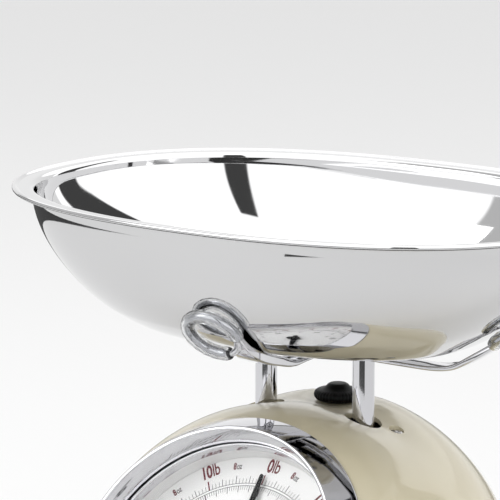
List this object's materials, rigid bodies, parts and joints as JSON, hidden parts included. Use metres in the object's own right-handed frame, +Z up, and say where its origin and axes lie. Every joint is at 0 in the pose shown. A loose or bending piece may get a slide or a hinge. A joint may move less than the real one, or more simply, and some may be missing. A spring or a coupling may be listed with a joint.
{
  "type": "mechanical kitchen scale",
  "caption": "Ball-shaped spring kitchen scale with a tilted round dial in a wide chrome bezel and an oval steel bowl on a chrome cradle.",
  "frame": {"origin": "on the surface that the scale stands on, midway between the two posts, under the centre of the ball", "axes": "+X to the reader's right when facing the dial, -Y towards the reader, so the dial faces -Y and up; +Z up"},
  "size_m": [0.31, 0.251, 0.2856],
  "materials": {
    "cream": "gloss cream enamel",
    "chrome": "bright chrome plating",
    "chrome_dark": "bright plated reflector ring",
    "clear_lens": "clear lens",
    "dial_white": "printed off-white dial, satin",
    "zinc_steel": "zinc plated pressed steel",
    "screw_steel": "nickel plated screw",
    "spring_steel": "drawn spring wire",
    "stainless": "mirror polished stainless steel",
    "brass": "turned brass",
    "white_nylon": "natural nylon",
    "black_rubber": "black rubber",
    "clear_silicone": "clear silicone",
    "black_plastic": "black moulded plastic"
  },
  "bodies": {
    "root": {"body_shell": "cream", "bezel_ring": "chrome", "dial_surround": "chrome_dark", "lens": "clear_lens", "dial_plate": "dial_white", "instrument_pan": "zinc_steel", "movement_pillars": "zinc_steel", "rear_bearing_plate": "zinc_steel", "chassis_frame": "zinc_steel", "base_plate": "zinc_steel", "dial_screws": "screw_steel", "pan_screws": "screw_steel", "plate_screws": "screw_steel", "shell_screws": "screw_steel", "base_screws": "screw_steel", "left_upper_bush": "brass", "left_lower_bush": "brass", "right_upper_bush": "brass", "right_lower_bush": "brass", "rack_guide": "white_nylon", "back_right_foot": "black_rubber", "back_left_foot": "black_rubber", "front_left_foot": "black_rubber", "front_right_foot": "black_rubber"},
    "carriage": {"left_post": "chrome", "right_post": "chrome", "cradle_plate": "chrome", "side_cradle_bar": "chrome", "front_cradle_bar": "chrome", "upper_crosshead": "zinc_steel", "lower_crosshead": "zinc_steel", "main_spring": "spring_steel", "left_sleeve": "clear_silicone", "right_sleeve": "clear_silicone", "front_sleeve": "clear_silicone", "rear_sleeve": "clear_silicone", "post_screws": "screw_steel", "cradle_rivets": "screw_steel"},
    "bowl": {"bowl": "stainless"},
    "rack": {"rack": "zinc_steel", "rack_pin": "zinc_steel"},
    "pointer": {"pointer": "black_plastic", "pointer_hub": "black_plastic", "pinion": "brass", "pointer_arbor": "screw_steel"},
    "zero_setting": {"zero_knob": "black_plastic", "zero_screw": "screw_steel"},
    "hanger": {"spring_hanger": "brass"}
  },
  "joints": [
    {"name": "carriage_slide", "type": "slide", "parent": "root", "child": "carriage", "axis": [0, 0, -1], "range_m": [0, 0.011], "stiffness_N_per_m": 4459, "springref_m": -0.0036, "deforming": ["main_spring"]},
    {"name": "bowl_lift", "type": "slide", "parent": "carriage", "child": "bowl", "axis": [0, 0, 1], "range_m": [0, 0.09]},
    {"name": "rack_slide", "type": "slide", "parent": "root", "child": "rack", "axis": [0, -0.6046, -0.7965], "range_m": [0, 0.01383]},
    {"name": "pointer_turn", "type": "hinge", "parent": "root", "child": "pointer", "pos_m": [0, -0.07398, 0.10977], "axis": [0, 0.7965, -0.6046], "range_deg": [0, 360.1]},
    {"name": "zero_knob_turn", "type": "hinge", "parent": "root", "child": "zero_setting", "pos_m": [0, 0.0205, 0.18], "axis": [0, 0, 1], "range_deg": [-182, 182]},
    {"name": "hanger_slide", "type": "slide", "parent": "root", "child": "hanger", "axis": [0, 0, 1], "range_m": [-0.00035, 0.00035]}
  ],
  "couplings": [
    {"joint": "rack_slide", "follows": "carriage_slide", "ratio": 1.2554},
    {"joint": "pointer_turn", "follows": "carriage_slide", "rad_per_m": 571.2},
    {"joint": "zero_knob_turn", "follows": "hanger_slide", "rad_per_m": 8976}
  ]
}
